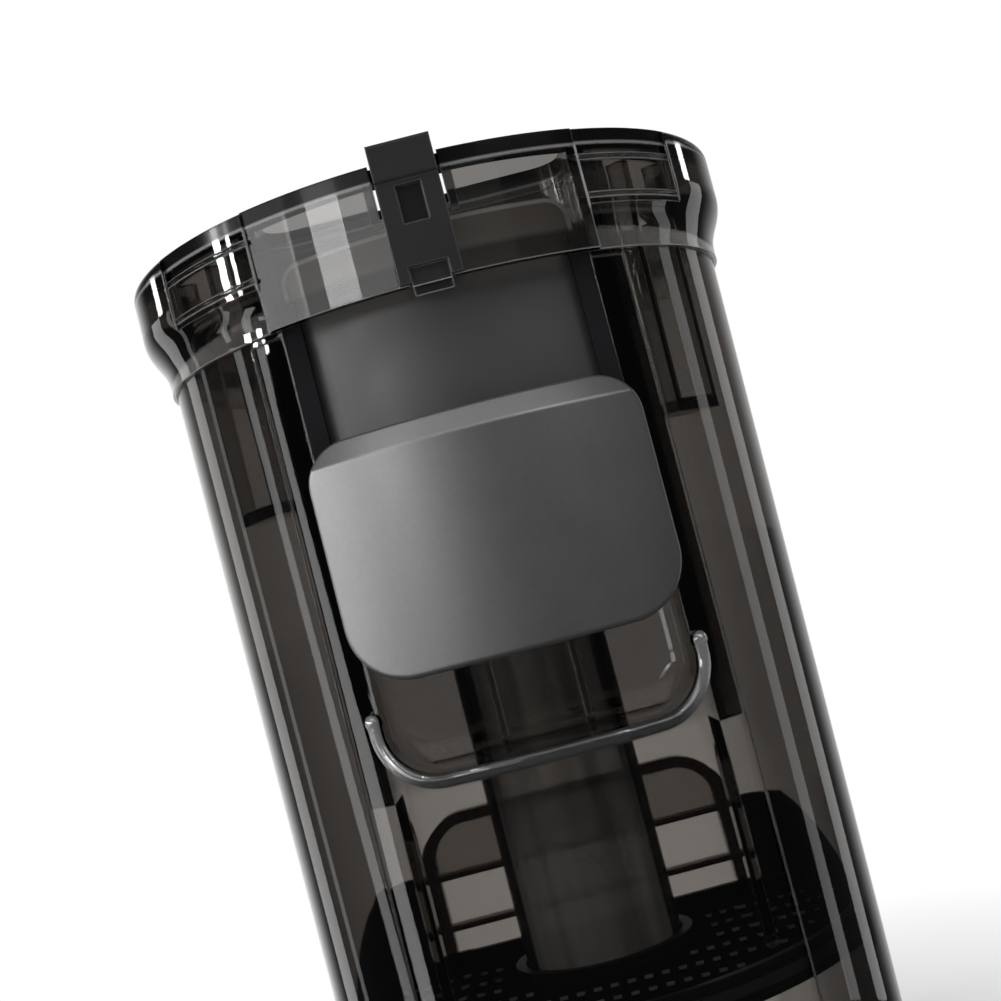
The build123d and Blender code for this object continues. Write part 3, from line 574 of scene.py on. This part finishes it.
def paint_latch():
    """Materials of the latch and its springs."""
    # Painted light on the panel behind the band, a painted highlight on its rim, painted shade on the arm's
    # end and painted highlights on its edges
    panel = [(panel_upper, PANEL_PAINTED_LIGHT), (panel_rim_highlight, RIM_PAINTED_HIGHLIGHT), (arm_end, PAINTED_SHADE_BLACK)]
    slider = satin_plastic("latch_grey", LATCH_GREY, roughness=0.42, patches=panel, edge_light=0.6)
    paint(slider, "latch_slider")
    paint(metal_paint("pad_grey", PAD_GREY, roughness=0.40, metallic=0.9), "grip_pad")
    # Painted shade in the bolt's window and painted highlights on its edges
    window = [(bolt_window, PAINTED_SHADE_BLACK)]
    bolt = satin_plastic(
        "latch_black", LATCH_BLACK, roughness=0.35, patches=window, edge_light=0.08, specular=0.3
    )
    paint(bolt, "latch_bolt")
    paint(drawn_steel("steel"), "pad_screws", "left_return_spring", "right_return_spring")


def make_floor():
    """Pale floor that keeps the shadow near the object and fades to the background for the camera."""
    mesh = bpy.data.meshes.new("floor")
    half = FLOOR_SIZE / 2
    corners = [(-half, -half, 0), (half, -half, 0), (half, half, 0), (-half, half, 0)]
    mesh.from_pydata(corners, [], [(0, 1, 2, 3)])
    floor = bpy.data.objects.new("floor", mesh)
    scene.collection.objects.link(floor)
    material, tree, shader, output = blank_material("floor_pale")
    shader.inputs["Base Color"].default_value = FLOOR_PALE
    shader.inputs["Roughness"].default_value = FLOOR_ROUGHNESS
    glow = tree.nodes.new("ShaderNodeEmission")
    glow.inputs["Color"].default_value = BACKGROUND
    coords = tree.nodes.new("ShaderNodeTexCoord")
    length = tree.nodes.new("ShaderNodeVectorMath")
    length.operation = "LENGTH"
    tree.links.new(coords.outputs["Object"], length.inputs[0])
    far = tree.nodes.new("ShaderNodeMapRange")
    far.inputs["From Min"].default_value = FLOOR_FADE[0]
    far.inputs["From Max"].default_value = FLOOR_FADE[1]
    far.inputs["To Min"].default_value = FLOOR_GLOW_NEAR
    tree.links.new(length.outputs["Value"], far.inputs["Value"])
    path = tree.nodes.new("ShaderNodeLightPath")
    weight = math_node(tree, "MULTIPLY", far.outputs["Result"], path.outputs["Is Camera Ray"])
    surface = mix_shaders(tree, weight, shader.outputs["BSDF"], glow.outputs["Emission"])
    tree.links.new(surface, output.inputs["Surface"])
    mesh.materials.append(material)
    # The world stands in for the floor where plastic mirrors it or lets it through
    floor.visible_glossy = False
    floor.visible_transmission = False


def make_world():
    """White background for the camera and through clear plastic, a dim studio for the light on the object."""
    world = bpy.data.worlds.new("studio")
    scene.world = world
    world.use_nodes = True
    tree = world.node_tree
    tree.nodes.clear()
    output = tree.nodes.new("ShaderNodeOutputWorld")
    skies = [tree.nodes.new("ShaderNodeBackground") for _ in range(3)]
    for sky, colour in zip(skies, (STUDIO_FILL, STUDIO_DARK, BACKGROUND)):
        sky.inputs["Color"].default_value = colour
    fill, dark, white = (sky.outputs["Background"] for sky in skies)
    path = tree.nodes.new("ShaderNodeLightPath")
    glossy = path.outputs["Is Glossy Ray"]
    coords = tree.nodes.new("ShaderNodeTexCoord")
    x, y, z = split_vector(tree, coords.outputs["Generated"])
    # What a wall mirrors from below is dark
    mirrored = math_node(tree, "GREATER_THAN", path.outputs["Glossy Depth"], 0.5)
    floorward = math_node(tree, "MULTIPLY", math_node(tree, "LESS_THAN", z, 0.0), mirrored)
    through = math_node(tree, "SUBTRACT", path.outputs["Is Transmission Ray"], floorward, clamp=True)
    studio = mix_shaders(tree, math_node(tree, "MAXIMUM", glossy, floorward), fill, dark)
    # What a wall mirrors from behind the object is white, less so on the right
    right_hand = between(tree, x, *RIGHT_HAND, 1.0, RIGHT_HAND_WHITE)
    behind = math_node(tree, "MULTIPLY", between(tree, y, *BEHIND), right_hand)
    seen = math_node(tree, "MAXIMUM", path.outputs["Is Camera Ray"], through)
    seen = math_node(tree, "MAXIMUM", seen, math_node(tree, "MULTIPLY", glossy, behind))
    tree.links.new(mix_shaders(tree, seen, studio, white), output.inputs["Surface"])


def softbox(name, left, up, width, height, brightness):
    """Area lamp aimed at the latch, at so many degrees left of the front and above it."""
    turn, rise = radians(left), radians(up)
    away = Vector((-sin(turn) * cos(rise), -cos(turn) * cos(rise), sin(rise)))
    data = bpy.data.lights.new(name, "AREA")
    data.shape = "RECTANGLE"
    data.size = width
    data.size_y = height
    data.energy = brightness * pi * width * height
    lamp = bpy.data.objects.new(name, data)
    scene.collection.objects.link(lamp)
    lamp.location = LAMP_AIM + away * LAMP_DISTANCE
    lamp.rotation_mode = "QUATERNION"
    lamp.rotation_quaternion = (-away).to_track_quat("-Z", "Y")
    lamp.visible_camera = False
    lamp.visible_transmission = False


def make_camera():
    """Camera at the photograph's place."""
    data = bpy.data.cameras.new("camera")
    data.lens = CAMERA_LENS
    data.sensor_width = CAMERA_SENSOR
    data.clip_start = CAMERA_CLIP
    camera = bpy.data.objects.new("camera", data)
    scene.collection.objects.link(camera)
    level = cos(CAMERA_PITCH)
    forward = Vector((sin(CAMERA_YAW) * level, cos(CAMERA_YAW) * level, sin(CAMERA_PITCH)))
    turn = forward.to_track_quat("-Z", "Y").to_matrix() @ Matrix.Rotation(CAMERA_ROLL, 3, "Z")
    camera.matrix_world = Matrix.Translation(CAMERA_PLACE) @ turn.to_4x4()
    scene.camera = camera


paint_tank()
paint_latch()
make_floor()
make_world()
for lamp_values in LAMPS:
    softbox(*lamp_values)
make_camera()
